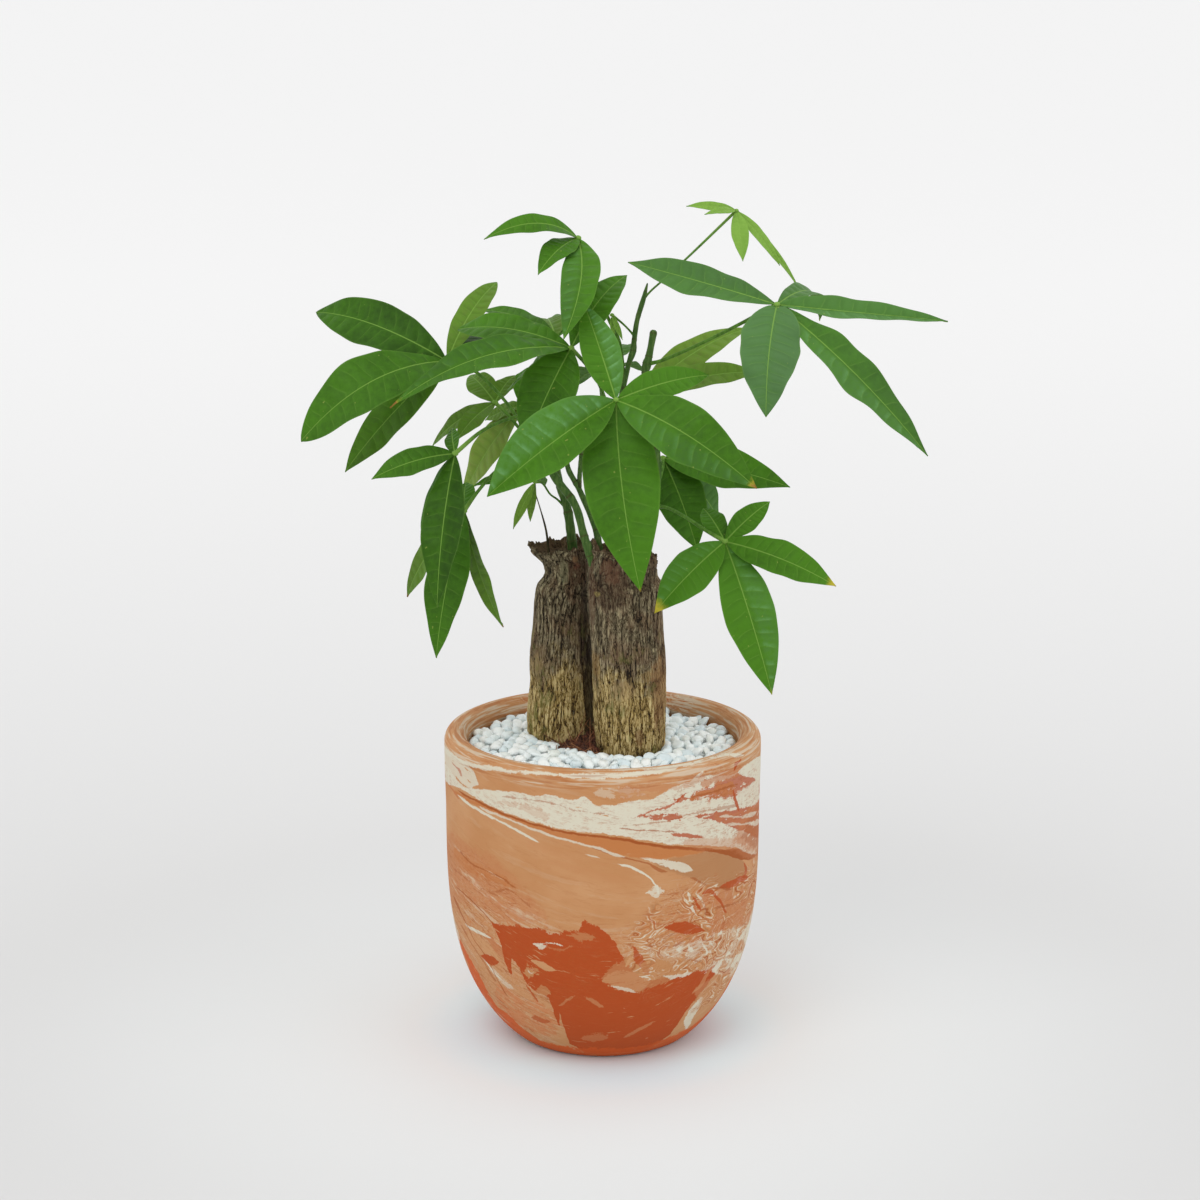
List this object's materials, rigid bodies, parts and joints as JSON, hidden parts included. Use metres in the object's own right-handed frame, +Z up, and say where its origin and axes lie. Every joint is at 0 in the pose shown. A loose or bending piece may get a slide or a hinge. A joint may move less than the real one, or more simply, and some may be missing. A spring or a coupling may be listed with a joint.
{
  "type": "potted money tree",
  "caption": "Young money tree with cut woody trunks, green shoots and palmate leaves, in a round marbled planter topped with white pebbles.",
  "frame": {"origin": "middle of the pot's flat foot, on the surface that it stands on", "axes": "+Z up along the pot's axis, -Y towards the front that the picture shows, +X to the right seen from the front"},
  "size_m": [0.3513, 0.244, 0.477],
  "materials": {
    "pot": "matte",
    "soil": "matte",
    "pebbles": "satin",
    "bark": "matte",
    "shoot": "satin",
    "dry_twig": "matte",
    "leaf": "satin",
    "young_leaf": "satin"
  },
  "bodies": {
    "root": {"pot": "pot", "soil": "soil", "pebbles": "pebbles", "trunk_left": "bark", "trunk_right": "bark", "shoot_left": "shoot", "shoot_middle": "shoot", "shoot_dark": "shoot", "shoot_tall": "shoot", "shoot_cut": "shoot", "dry_twig": "dry_twig", "leaf_left_upper": "leaf", "leaf_left_front": "leaf", "leaf_front": "leaf", "leaf_top": "leaf", "leaf_right_upper": "leaf", "leaf_young": "young_leaf", "leaf_right_back": "leaf", "leaf_right_shade": "leaf", "leaf_right_low": "leaf", "leaf_left_hanging": "leaf", "leaf_left_low": "leaf", "leaf_left_inner": "leaf", "leaf_left_shade": "leaf", "leaf_sprig": "leaf", "leaf_sprout_low": "young_leaf", "leaf_back_left": "leaf", "leaf_back": "leaf", "leaf_sprout_high": "young_leaf"}
  },
  "joints": []
}
